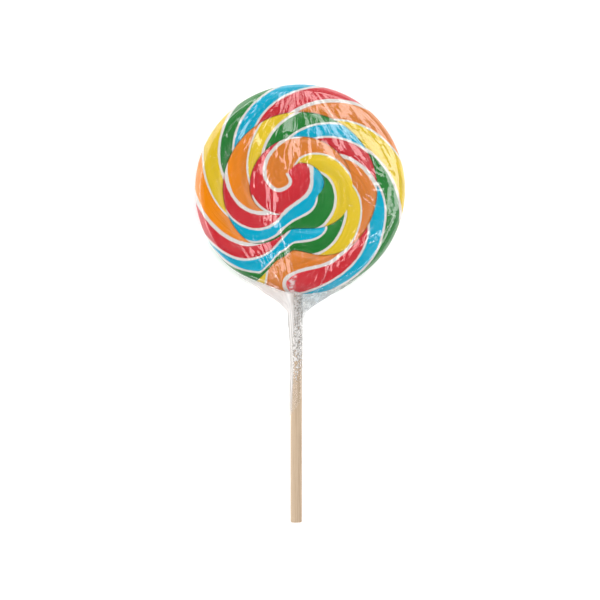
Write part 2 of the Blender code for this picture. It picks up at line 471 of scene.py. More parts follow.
def seamGaps(wound, radius, inner, outer, lastRim):
    # distance to the nearest open seam, and to the middle of the extra white fold
    far = 5.0
    toInner = radius - inner + far * (1 - seamOpening(wound))
    toOuter = np.where(lastRim, far, outer - radius + far * (1 - seamOpening(wound + 360.0)))
    start, end, half = candy["foldLine"]
    along = (wound + 360.0 - start) / (end - start)
    taper = half * np.sqrt(np.clip(4 * along * (1 - along), 0.0, 1.0))
    fold = np.where((along > 0) & (along < 1), np.abs(outer - radius - half) - taper, far)
    return np.minimum(toInner, toOuter), fold


def stripeSpan(wound, row, columns, phase, radius, turn):
    # millimetres for one step of colour, from how fast it changes over the face
    grid = np.lexsort((row, wound))
    shape = (columns + 1, candy["rowsAcross"] + 1)
    phaseNet, radiusNet, turnNet = (value[grid].reshape(shape) for value in (phase, radius, turn))
    alongPhase, acrossPhase = np.gradient(phaseNet)
    alongRadius, acrossRadius = np.gradient(radiusNet)
    alongTurn = np.gradient(turnNet, axis=0)
    outward = acrossPhase / np.maximum(acrossRadius, 1e-3)
    sideways = (alongPhase - outward * alongRadius) / (alongTurn * np.maximum(radiusNet, 0.5))
    span = np.empty_like(phase)
    span[grid] = np.clip(1.0 / np.maximum(np.hypot(outward, sideways), 1e-3), 1.0, 40.0).ravel()
    coreSpan = candy["coreSpan"] * np.where(phase < -1.5, candy["hookWidening"], 1.0)
    return np.where((phase < -0.5) | (wound < candy["centreAt"]), coreSpan, span)


def buildCandyFace(name, upper):
    turns = (candy["seamEnd"] - candy["centreAt"] + 360.0) / 360.0
    columns = round(turns * candy["columnsPerTurn"])
    rows = candy["rowsAcross"]
    face, u, v = addSheet(name, rows, columns)
    wound = candy["centreAt"] - 360.0 + np.round(u * columns) * 360.0 / candy["columnsPerTurn"]
    row = np.round(v * rows) / rows
    crowding = candy["edgeCrowding"]
    across = (1 - crowding) * row + crowding * (0.5 - 0.5 * np.cos(math.pi * row))
    radius, angle, inner, outer, lastRim = windingPlace(wound, across)
    turn = np.radians(angle)
    x = radius * np.cos(turn)
    y = radius * np.sin(turn)
    innerGroove = candy["groove"] * seamOpening(wound)
    outerGroove = np.where(lastRim, 0.0, candy["groove"] * seamOpening(wound + 360.0))
    groove = np.where(across < 0.5, innerGroove, outerGroove) * np.abs(2 * across - 1) ** candy["crown"]
    # a slow swell, so that no stretch is quite level
    swell = np.sin(x * 0.31 + 1.3) * np.sin(y * 0.27 + 0.4) + np.sin(wound * 0.043) * 0.6
    half = (candyHigh[2] - candyLow[2]) / 2
    height = half - candy["unevenness"] * (1 - swell / 1.6) - groove
    inward = np.clip((rimRadius(angle) - radius) / candy["rimRounding"], 0.0, 1.0)
    height *= np.sqrt(1.0 - (1.0 - inward) ** 2)
    height = np.where(lastRim & (row > 0.999), 0.0, height)
    phase = stripePhase(wound, across, x, y, not upper)
    placePoints(face, x, y, midHeight + (height if upper else -height))
    writeMap(face, "stripes", phase, stripeSpan(wound, row, columns, phase, radius, turn))
    writeMap(face, "edges", *seamGaps(wound, radius, inner, outer, lastRim))
    return face


def boiledSugarMaterial():
    # opaque pulled boiled sugar: smooth and glassy, with faint streaks along the pull
    material, tree = newMaterial("pulled boiled sugar")
    place = addNode(tree, "TexCoord").outputs["Object"]
    stripes = addNode(tree, "SeparateXYZ", Vector=addNode(tree, "UVMap", {"uv_map": "stripes"}))
    phase, span = stripes.outputs[0], stripes.outputs[1]
    edges = addNode(tree, "SeparateXYZ", Vector=addNode(tree, "UVMap", {"uv_map": "edges"}))
    count = len(candy["colours"])
    # five colours in turn, and each place also knows the line that is nearest
    turns = []
    for shift in (2.0, 2.0 + 0.5 / count):
        shifted = addNode(tree, "Math", {"operation": "MULTIPLY_ADD"}, in0=phase, in1=1 / count, in2=shift)
        turns.append(addNode(tree, "Math", {"operation": "FRACT"}, in0=shifted))
    colourAt, lineAt = turns
    ramps = []
    for hues in (candy["colours"], candy["sideColours"]):
        ramp = addNode(tree, "ValToRGB", Fac=colourAt)
        fillRamp(ramp, [(i / count, linear(hue)) for i, hue in enumerate(hues)], "CONSTANT")
        ramps.append(ramp)
    sideShare = addNode(tree, "MapRange", Value=addNode(tree, "SeparateXYZ", Vector=place),
                        From_Min=-candy["sideFrom"][0] * mm, From_Max=-candy["sideFrom"][1] * mm)
    sugar = addNode(tree, "Mix", {"data_type": "RGBA"}, Factor=sideShare, in6=ramps[0], in7=ramps[1])
    # the white lines swell and fray a little
    halves = addNode(tree, "ValToRGB", Fac=lineAt)
    fillRamp(halves, [(i / count, (w, w, w, 1)) for i, w in enumerate(candy["lineHalves"])], "CONSTANT")
    shifted = addNode(tree, "Math", {"operation": "ADD"}, in0=phase, in1=10.5)
    part = addNode(tree, "Math", {"operation": "FRACT"}, in0=shifted)
    signed = addNode(tree, "Math", {"operation": "SUBTRACT"}, in0=part, in1=0.5)
    offLine = addNode(tree, "Math", {"operation": "ABSOLUTE"}, in0=signed)
    gap = addNode(tree, "Math", {"operation": "MULTIPLY"}, in0=offLine, in1=span)
    wander = addNode(tree, "TexNoise", Vector=place, Scale=1 / (candy["wanderSize"] * mm), Detail=2.0)
    fray = addNode(tree, "TexNoise", Vector=place, Scale=1 / (candy["fraySize"] * mm), Detail=2.0)
    swelling = addNode(tree, "Math", {"operation": "MULTIPLY_ADD"}, in0=wander,
                       in1=candy["lineSwelling"][0], in2=candy["lineSwelling"][1])
    frayed = addNode(tree, "Math", {"operation": "MULTIPLY_ADD"}, in0=fray,
                     in1=candy["lineFray"][0], in2=candy["lineFray"][1])
    half = addNode(tree, "Math", {"operation": "MULTIPLY_ADD"}, in0=halves, in1=swelling, in2=frayed)
    past = addNode(tree, "Math", {"operation": "SUBTRACT"}, in0=gap, in1=half)
    pastFold = addNode(tree, "Math", {"operation": "MINIMUM"}, in0=past, in1=edges.outputs[1])
    isColour = addNode(tree, "MapRange", {"interpolation_type": "SMOOTHSTEP"}, Value=pastFold,
                       From_Min=candy["lineEdge"][0], From_Max=candy["lineEdge"][1])
    # painted shade: the open seams between the windings are darkened
    seam = addNode(tree, "MapRange", {"interpolation_type": "SMOOTHSTEP"}, Value=edges,
                   From_Min=0.0, From_Max=candy["seamShade"][0], To_Min=candy["seamShade"][1], To_Max=1.0)
    # streaks run along the stripes
    acrossPull = addNode(tree, "Math", {"operation": "MULTIPLY"}, in0=phase,
                         in1=candy["streaksPerColour"])
    drift = addNode(tree, "VectorMath", {"operation": "MULTIPLY_ADD"}, in0=place,
                    in1=[1 / (candy["streakSize"] * mm)] * 3, in2=addNode(tree, "CombineXYZ", X=acrossPull))
    streaks = addNode(tree, "TexNoise", Vector=drift, Scale=1.0, Detail=3.0)
    tone = addNode(tree, "MapRange", Value=streaks, From_Min=0.3, From_Max=0.7,
                   To_Min=candy["streakTones"][0], To_Max=candy["streakTones"][1])
    shade = addNode(tree, "Math", {"operation": "MULTIPLY"}, in0=tone, in1=seam)
    toned = addNode(tree, "VectorMath", {"operation": "SCALE"}, in0=sugar.outputs[2], Scale=shade)
    mixed = addNode(tree, "Mix", {"data_type": "RGBA"}, Factor=isColour, in6=linear(candy["white"]),
                    in7=toned)
    ripple = addNode(tree, "Bump", Strength=0.25, Distance=candy["rippleDepth"] * mm, Height=streaks)
    shader = addNode(tree, "BsdfPrincipled", Base_Color=mixed.outputs[2], Roughness=0.1, IOR=1.5,
                     Specular_IOR_Level=0.3, Normal=ripple)
    addNode(tree, "OutputMaterial", Surface=shader)
    return material


def buildCandy():
    piece = joinPieces([buildCandyFace("swirlCandy", True), buildCandyFace("swirlCandyBack", False)])
    mergeDoubles(piece, 0.006, 0.018)
    finishPiece(piece, candy["sharpAngle"], boiledSugarMaterial())
    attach(piece, "root")
    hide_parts("candy")
    return piece


swirlCandy = buildCandy()
print("candy", len(swirlCandy.data.polygons), "faces")


stick = {
    "pale": "#CFB699",
    "dark": "#B6997C",
    "grainWidth": 0.5,
    "grainLength": 22.0,
    # painted shade: how much darker the dowel gets towards +X
    "paintedSideShade": 0.035,     # for each millimetre across
    "reliefDepth": 0.2,
}


def birchMaterial():
    # turned birch dowel: pale, dry, with fine straight grain along it
    material, tree = newMaterial("turned birch")
    place = addNode(tree, "TexCoord").outputs["Object"]
    width = 1 / (stick["grainWidth"] * mm)
    length = 1 / (stick["grainLength"] * mm)
    stretched = addNode(tree, "Mapping", Vector=place, Scale=(width, length, width))
    grain = addNode(tree, "TexNoise", Vector=stretched, Scale=1.0, Detail=4.0, Roughness=0.6)
    # painted shade: the dowel is darker towards +X, as if lit from the left
    tone = addNode(tree, "Math", {"operation": "MULTIPLY_ADD"}, in2=grain,
                   in0=addNode(tree, "SeparateXYZ", Vector=place), in1=-stick["paintedSideShade"] / mm)
    wood = addNode(tree, "ValToRGB", Fac=tone)
    fillRamp(wood, [(0.3, linear(stick["dark"])), (0.55, linear(stick["pale"]))], "LINEAR")
    relief = addNode(tree, "Bump", Strength=0.3, Distance=stick["reliefDepth"] * mm, Height=grain)
    shader = addNode(tree, "BsdfPrincipled", Base_Color=wood, Roughness=0.6, Normal=relief)
    addNode(tree, "OutputMaterial", Surface=shader)
    return material


def finishStick():
    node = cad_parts["stick"]
    node.data.materials.clear()
    node.data.materials.append(birchMaterial())


finishStick()
print("stick")


# the clear film: a flat bag over the disc, a funnel below it and a sleeve round the stick
film = {
    "radius": 37.65,
    "halfHeight": 4.09,
    "rounding": 3.5,
    "standProud": 0.2,              # at most, over the wrapper's own top
    "funnelTop": -33.3,
    "funnelHalfHeight": 4.2,
    "neck": -44.3,
    "neckRadius": 2.85,
    "leftSpread": (14.0, 1.5),      # of the funnel: reach and curve
    "rightSpread": (16.2, 1.2),
    "tailRadius": 2.3,
    "narrowAt": -57.0,
    "tailEnd": -75.4,
    "tailSkew": 5.2,
    "flatness": 0.65,               # of the bag over the disc
    "crumple": 0.13,
    "crumpleSize": (17.0, 2.3),     # how many round the sleeve, and length
    "rings": 250,
    "discRings": 176,
    "rimCrowding": 0.12,
    "firstRing": 0.06,
    "around": 340,
    "sharpAngle": 12.0,
    "broadFold": 0.34,
    "fineFold": 0.3,
    "rimFold": 0.11,
    "rimFoldSides": ((172.0, 26.0), (0.0, 24.0)),       # angle and spread
    "rimFoldSize": (2.6, 7.0),                          # degrees wide, and length
    "rimFoldFrom": (22.0, 5.0),
    # pleats fan out from a place above the disc and from the neck, and meet: from, over
    "topPole": (-1.5, 45.0),
    "neckPole": (-2.0, -45.0),
    "fansMeet": (-14.0, 22.0),
    # each pleat's width in degrees and its length: broad ones, fine ones, patches of fine ones
    "pleatSizes": ((9.0, 15.0), (2.4, 8.0), (14.0, 9.0)),
    "taut": 0.12,
    # where the film is ruffled rather than taut: x, y, reach in x, reach in y, share
    "ruffles": (
        (0.0, 27.0, 17.0, 9.0, 1.0), (-22.0, 20.0, 8.0, 9.0, 0.8), (-5.0, 13.0, 7.0, 7.0, 0.9),
        (-14.5, 4.0, 4.0, 10.0, 0.6), (20.0, 19.0, 9.0, 8.0, 0.6), (-16.0, -22.0, 11.0, 4.0, 0.8),
        (31.0, -8.0, 4.0, 10.0, 0.6), (-32.0, 2.0, 5.0, 12.0, 0.4), (4.0, -33.0, 9.0, 3.0, 0.6),
        (21.0, -20.0, 7.0, 6.0, 0.6), (-9.0, -29.0, 5.0, 5.0, 0.7), (-9.5, -10.0, 3.0, 9.0, 0.5),
    ),
    "facetSlope": 0.11,
    "facetFade": 0.8,
    # flat facets that lean to the right: x, y, length, width, direction
    "facets": (
        (-4.5, 31.0, 6.0, 1.2, 80), (-1.0, 31.0, 6.0, 1.6, 86), (2.2, 30.5, 7.0, 1.6, 94),
        (5.5, 30.0, 6.0, 1.2, 104), (15.3, 28.0, 6.5, 4.5, 118), (21.0, 25.5, 9.0, 0.9, 128),
        (26.5, 22.0, 7.0, 0.7, 124), (-3.7, 22.5, 6.0, 4.6, 84), (5.8, 25.0, 5.0, 3.0, 110),
        (-8.5, 20.0, 5.0, 1.2, 70), (6.0, 21.0, 7.0, 0.9, 98), (11.8, 20.5, 5.5, 1.8, 104),
        (2.8, 20.4, 5.0, 0.9, 94), (-0.9, 14.3, 8.0, 2.2, 88), (3.2, 14.0, 8.0, 1.0, 94),
        (9.8, 13.5, 8.0, 2.2, 118), (13.3, 15.5, 6.0, 1.6, 126), (25.4, 15.4, 15.0, 2.8, 122),
        (30.6, 12.0, 9.0, 0.8, 118), (19.5, 8.0, 9.0, 1.0, 122), (-11.6, -5.5, 13.0, 1.3, 92),
        (-9.2, -6.5, 14.0, 0.9, 90), (-22.5, 22.5, 5.0, 2.6, 48), (-27.0, 17.5, 4.0, 2.2, 30),
        (-18.5, 26.0, 6.0, 1.0, 60), (-16.5, 27.5, 5.0, 0.7, 62), (-20.5, 21.5, 6.0, 0.7, 58),
        (-14.5, 24.5, 5.0, 0.6, 62), (-12.4, 27.0, 5.0, 0.7, 66), (-25.0, 20.0, 4.0, 1.0, 50),
        (-17.6, 22.0, 5.0, 0.6, 60), (-8.2, -29.1, 6.0, 4.4, 80), (-2.0, -33.0, 5.0, 1.6, 75),
        (18.3, -22.0, 9.0, 1.2, 62), (14.5, -25.0, 8.0, 1.0, 58), (26.8, -17.3, 5.0, 2.2, 35),
        (-13.5, -24.5, 6.0, 1.0, 112), (-16.5, -23.5, 5.0, 1.0, 120), (33.5, -3.0, 6.0, 0.9, 96),
        (31.0, 3.5, 5.0, 0.8, 110), (-14.2, -10.5, 4.6, 0.8, 88), (-12.4, -11.0, 5.0, 1.4, 91),
        (-9.2, -11.5, 6.0, 2.6, 94), (-13.4, 9.0, 9.0, 1.6, 74), (-15.4, 3.0, 8.0, 1.6, 84),
        (-14.2, 6.0, 6.0, 0.9, 80), (9.0, -28.5, 4.0, 1.0, 86), (11.0, -27.5, 5.0, 1.2, 84),
        (13.2, -25.5, 5.5, 1.3, 82), (15.6, -23.5, 6.0, 1.2, 80), (17.8, -21.0, 6.0, 1.3, 78),
        (19.6, -18.0, 5.0, 1.0, 76), (-9.0, -26.5, 8.0, 2.0, 96), (-6.6, -25.5, 8.0, 1.6, 98),
        (-4.6, -26.0, 9.0, 1.0, 99), (-19.0, -21.5, 3.0, 0.8, 116), (-17.2, -22.5, 4.0, 0.7, 113),
        (-14.8, -22.0, 4.0, 0.8, 108), (-12.0, -22.0, 5.0, 0.8, 103),
    ),
    # pinched folds that stand up from the film: points, height, half width
    "pinches": (
        (((7.1, 32.3), (10.8, 26.5), (13.3, 23.5), (16.3, 20.0), (18.8, 17.5)), 0.2, 0.42),
        (((-9.2, -1.5), (-9.0, -8.5), (-7.2, -12.0), (-6.2, -17.1), (-4.2, -23.6), (-2.2, -29.0)),
         0.15, 0.32),
        (((-10.6, -1.0), (-10.4, -7.6), (-9.8, -13.5)), 0.14, 0.3),
        (((-16.1, -23.2), (-13.4, -26.4), (-13.9, -29.5)), 0.17, 0.36),
        (((-9.6, -28.6), (-8.6, -31.0), (-6.8, -33.2)), 0.2, 0.42),
        (((11.4, -24.2), (9.2, -30.0), (6.0, -36.6)), 0.15, 0.32),
        (((22.8, -1.5), (24.6, -2.6), (26.0, -4.2)), 0.17, 0.36),
        (((22.0, -2.6), (24.0, -4.4), (26.0, -5.4)), 0.15, 0.32),
        (((16.9, -5.6), (19.0, -6.2)), 0.14, 0.3),
        (((24.2, -19.4), (27.1, -18.2)), 0.15, 0.32),
        (((30.3, -15.0), (32.4, -11.6), (33.2, -9.0)), 0.15, 0.32),
        (((19.0, 12.0), (23.0, 8.0), (25.4, 3.5)), 0.13, 0.28),
        (((29.4, -1.6), (31.2, -1.9), (32.8, -1.4)), 0.12, 0.24),
        (((29.2, -3.4), (31.0, -3.8), (33.0, -3.3)), 0.11, 0.22),
        (((30.0, -5.2), (31.6, -5.4), (33.1, -5.0)), 0.12, 0.24),
        (((29.6, -6.9), (31.0, -7.2), (32.4, -6.9)), 0.11, 0.22),
        (((29.2, -8.8), (30.8, -9.3), (32.4, -9.1)), 0.12, 0.24),
        (((28.8, -11.0), (30.2, -11.6), (31.6, -11.5)), 0.11, 0.22),
        (((-24.6, -18.8), (-23.8, -19.8), (-22.9, -20.6)), 0.12, 0.24),
        (((-22.6, -19.6), (-21.8, -20.7), (-20.8, -21.6)), 0.11, 0.22),
        (((-20.4, -20.6), (-19.8, -21.6), (-19.0, -22.6)), 0.12, 0.24),
        (((-26.4, 13.4), (-25.6, 11.6), (-24.2, 12.6)), 0.11, 0.22),
        (((-25.8, 15.6), (-24.4, 13.9), (-23.2, 14.6)), 0.11, 0.22),
    ),
    "pinchLift": 0.05,
    "pinchWander": 0.12,
    # the milky gathers, each from, over: the funnel, what lies over the candy, and the painted highlight
    # band down the left of the sleeve
    "funnelHaze": ((-28.0, -6.0), (-50.0, 8.0)),
    "overCandyHaze": ((-29.5, -2.0), (-38.0, 2.0)),
    "sleeveHighlightHaze": ((-38.0, -4.0), (-79.0, 12.0)),
    "sleeveHighlightNarrows": (-60.0, -12.0),
    "sleeveHighlightEdge": (-0.7, -0.5),       # and how much further left it narrows to
    "sleeveHighlightStreaks": (0.78, 0.2, 9.0, 0.6),
    "funnelPleats": ((0.11, 17.0, 0.0), (0.08, 41.0, 1.0)),     # depth, how many a radian, shift
    "funnelPole": -47.0,
    "funnelCover": 0.84,
    "underSideCover": 0.45,
    "stickGap": (0.4, 1.9, 0.92),           # middle, reach, and how clear it is there
    "overCandyPatch": (-2.9, 1.5, 0.62),    # middle, reach, cover
    "fleckedFrom": (-27.5, -1.0),
    "sleeveFrom": (-42.5, -3.0),
    # the place on the painted light and shade by the place across: over the funnel, and from edge to edge
    # of the sleeve
    "funnelShadingPlace": (12.0, 0.12),
    "sleeveShadingPlace": ((-0.97, -0.84, 0.0, 1.0), (0.0, 0.37, 0.5, 0.7)),
    # painted light and shade on the milky layers, by place across: grey at the sleeve's left edge, a
    # painted white highlight, then painted grey shade on the right
    "hazePaintedLightAndShade": ((0.0, "#A9A7A5"), (0.08, "#BDBAB8"), (0.13, "#F4EDEA"), (0.37, "#FFFEFD"),
                  (0.42, "#F6F3F1"), (0.66, "#B9BCBB")),
    "cloudSize": 1.3,
    "hazeCover": 0.85,
    "fleckDepth": 0.75,
    # long narrow facets in the fan of pleats: width in degrees, length, tilt
    "facetLayers": ((3.0, 11.0, 0.16), (1.0, 5.0, 0.17)),
    "clear": (0.985, 0.985, 0.985, 1.0),
    "gloss": (0.102, 0.2),          # share reflected straight on, and added at a slant
}


def latticeHeights(u, v, seed):
    # random heights at the corners of a net, flat in between, as crumpled film is
    rng = np.random.default_rng(seed)
    size = 64
    net = rng.random((size, size))
    iu = np.floor(u).astype(int)
    iv = np.floor(v).astype(int)
    fu = u - iu
    fv = v - iv
    a = net[iu % size, iv % size]
    b = net[(iu + 1) % size, iv % size]
    c = net[iu % size, (iv + 1) % size]
    d = net[(iu + 1) % size, (iv + 1) % size]
    lower = a + (b - a) * fu + (d - b) * fv
    upper = a + (c - a) * fv + (d - c) * fu
    return np.where(fu > fv, lower, upper)


def ruffleShare(x, y):
    # 1 where the film is ruffled and near 0 where it is taut
    share = np.full_like(x, film["taut"])
    for middleX, middleY, reachX, reachY, strength in film["ruffles"]:
        share = np.maximum(share, strength * bell((x - middleX) / reachX) * bell((y - middleY) / reachY))
    return share


def fannedFolds(x, y):
    # broad and fine pleats that fan out from the two poles
    total = np.zeros_like(x)
    warp = 1.2 * np.sin(x * 0.21 + 0.7) + 1.1 * np.sin(y * 0.17 + 2.0)
    topShare = easeFrom(y, *film["fansMeet"])
    (broadWidth, broadLength), (fineWidth, fineLength), (patchWidth, patchLength) = film["pleatSizes"]
    for (poleX, poleY), seed, share in (
            (film["topPole"], 11, topShare), (film["neckPole"], 23, 1 - topShare)):
        reach = np.hypot(x - poleX, y - poleY)
        turn = np.degrees(np.arctan2(x - poleX, np.abs(y - poleY) + 1e-6)) + 90.0
        broad = latticeHeights((turn + warp) / broadWidth, reach / broadLength, seed)
        fine = latticeHeights((turn + warp) / fineWidth, reach / fineLength, seed + 1)
        patch = easeFrom(latticeHeights(turn / patchWidth, reach / patchLength, seed + 2), 0.45, 0.25)
        total += share * (film["broadFold"] * broad + film["fineFold"] * fine * patch)
    return total * ruffleShare(x, y)


def rimFolds(x, y):
    # small folds round the left and the right of the rim
    radius = np.hypot(x, y)
    angle = np.degrees(np.arctan2(y, x)) % 360.0
    left, right = (bell(((angle - middle + 180.0) % 360.0 - 180.0) / spread)
                   for middle, spread in film["rimFoldSides"])
    width, length = film["rimFoldSize"]
    folds = latticeHeights(angle / width, radius / length, 5) * np.maximum(left, right)
    return film["rimFold"] * folds * easeFrom(radius, *film["rimFoldFrom"])


def pleats(x, y):
    # height of the film's folds above its base
    total = fannedFolds(x, y) + rimFolds(x, y)
    for middleX, middleY, length, width, direction in film["facets"]:
        runX = math.cos(math.radians(direction))
        runY = math.sin(math.radians(direction))
        along = (x - middleX) * runX + (y - middleY) * runY
        aside = (x - middleX) * runY - (y - middleY) * runX
        inside = np.clip((length / 2 - np.abs(along)) / film["facetFade"], 0.0, 1.0)
        total += film["facetSlope"] * (width / 2 - aside) * inside * (np.abs(aside) < width / 2)
    return total


def filmDome(x, y):
    # how far the film stands off the middle plane over the disc
    inward = np.clip((film["radius"] - np.hypot(x, y)) / film["rounding"], 0.0, 1.0)
    return film["halfHeight"] * np.sqrt(1 - (1 - inward) ** 2), inward


def neckShape(y):
    # how far up the funnel a place is, from 0 to 1, and the sleeve's radius there
    rise = np.clip((y - film["neck"]) / (film["funnelTop"] - film["neck"]), 0.0, 1.0)
    narrowing = easeFrom(y, film["neck"], film["narrowAt"] - film["neck"])
    return rise, film["neckRadius"] + (film["tailRadius"] - film["neckRadius"]) * narrowing


def filmWidths(y):
    # how far the film reaches left and right of the middle, at one place along it
    disc = np.sqrt(np.maximum(film["radius"] ** 2 - y * y, 0.0))
    rise, tube = neckShape(y)
    widths = []
    for (reach, curve), shift in ((film["leftSpread"], -stickX), (film["rightSpread"], stickX)):
        spread = np.maximum(tube + shift + reach * rise ** curve, disc)
        widths.append(np.where(y > film["funnelTop"], disc, spread))
    return widths


def ringPlaces():
    # rings stand closer where the film turns over the rim
    count = film["discRings"]
    part = np.linspace(0.0, 1.0, count + 1)
    crowding = film["rimCrowding"]
    eased = crowding * (1 - np.cos(math.pi * part)) / 2 + (1 - crowding) * part
    onDisc = film["radius"] - (film["radius"] - film["funnelTop"]) * eased
    onDisc[1] = film["radius"] - film["firstRing"]
    below = np.linspace(film["funnelTop"], film["tailEnd"], film["rings"] - count + 1)
    return np.concatenate((onDisc, below[1:]))


def writeFanMaps(piece, x, y, side):
    # the fan of fine pleats: turn in degrees and reach, and how ruffled it is
    share = easeFrom(y, *film["fansMeet"])
    topX, topY = film["topPole"]
    lowX, lowY = film["neckPole"]
    turn = (np.degrees(np.arctan2(x - topX, topY - y)) * share
            + np.degrees(np.arctan2(x - lowX, np.maximum(y - lowY, 0.5))) * (1 - share))
    reach = np.hypot(x - topX, y - topY) * share + np.hypot(x - lowX, y - lowY) * (1 - share)
    writeMap(piece, "fan", turn, reach)
    writeMap(piece, "ruffles", ruffleShare(x, y), side)


def writeHazeMaps(piece, x, y, side):
    # where gathered layers turn the film milky, their painted light and shade, and where that breaks into
    # flecks
    pastRim = easeFrom(np.hypot(x, y) - rimRadius(np.degrees(np.arctan2(y, x))), -0.3, 0.8)
    aside = x - stickX
    start, end = film["funnelHaze"]
    funnel = pastRim * easeFrom(y, *start) * easeFrom(y, *end)
    middle, reach, clearness = film["stickGap"]
    funnel = funnel * (1 - clearness * bell((aside - middle) / reach))
    # it is gathered in pleats from the neck, and less on the under side
    fanned = np.arctan2(aside, np.maximum(y - film["funnelPole"], 0.5))
    gathers = sum(depth * np.sin(fanned * often + shift) for depth, often, shift in film["funnelPleats"])
    under = film["underSideCover"]
    funnel = funnel * (film["funnelCover"] + gathers)
    funnel = funnel * (under + (1 - under) * easeFrom(np.abs(side - 0.75), 0.15, 0.1))
    start, end = film["overCandyHaze"]
    middle, reach, cover = film["overCandyPatch"]
    overCandy = cover * bell((x - middle) / reach) * easeFrom(y, *start) * easeFrom(y, *end)
    # a painted highlight: a milky white band down the left of the sleeve, where light from the left would
    # shine on it
    start, end = film["sleeveHighlightHaze"]
    cover, depth, across, along = film["sleeveHighlightStreaks"]
    streak = cover + depth * np.sin(aside * across + y * along)
    edge, further = film["sleeveHighlightEdge"]
    edge = edge + further * easeFrom(y, *film["sleeveHighlightNarrows"])
    fold = streak * easeFrom(aside, edge, -0.5) * easeFrom(y, *start) * easeFrom(y, *end)
    # down the sleeve the painted light and shade starts at its edge, and over the funnel it doesn't
    onSleeve = easeFrom(y, *film["sleeveFrom"])
    radius = np.interp(y, (film["narrowAt"], film["neck"]), (film["tailRadius"], film["neckRadius"]))
    overSleeve = np.interp(aside / radius, *film["sleeveShadingPlace"])
    reach, least = film["funnelShadingPlace"]
    tint = np.clip(aside / reach + 0.5, least, 1.0) * (1 - onSleeve) + overSleeve * onSleeve
    writeMap(piece, "haze", np.maximum(np.maximum(funnel, overCandy), fold), tint)
    nearNeck = easeFrom(y, *film["fleckedFrom"]) * (1 - pastRim)
    writeMap(piece, "flecks", np.maximum(nearNeck, funnel * easeStep(aside / 2.0)), side)


def buildPinch(corners, height, halfWidth):
    # a small standing fold with a sharp crest, which tapers off at both ends
    route = smoothRoute(corners, 8)
    pinch, u, v = addSheet("pinch", 2, len(route) - 1)
    step = np.round(u * (len(route) - 1)).astype(int)
    side = np.round(v * 2) - 1
    run = np.gradient(route, axis=0)
    run = run / np.hypot(run[:, 0], run[:, 1])[:, None]
    taper = np.sqrt(np.sin(math.pi * np.clip(u, 0.02, 0.98)))
    aside = side * halfWidth * taper + film["pinchWander"] * np.sin(step * 1.9 + corners[0][0])
    x = route[step, 0] + aside * run[step, 1]
    y = route[step, 1] - aside * run[step, 0]
    dome, inward = filmDome(x, y)
    crest = pleats(route[:, 0], route[:, 1])[step] * np.clip(inward * 2.5, 0.0, 1.0)
    lift = film["pinchLift"] + height * taper * (side == 0)
    placePoints(pinch, x, y, midHeight + dome + crest + lift)
    writeMap(pinch, "fan", x, y)
    writeMap(pinch, "ruffles", x * 0.0, y)
    writeMap(pinch, "haze", x * 0.0, y * 0.0 + 0.5)
    writeMap(pinch, "flecks", x * 0.0, y)
    mergeDoubles(pinch, 0.001)
    return pinch


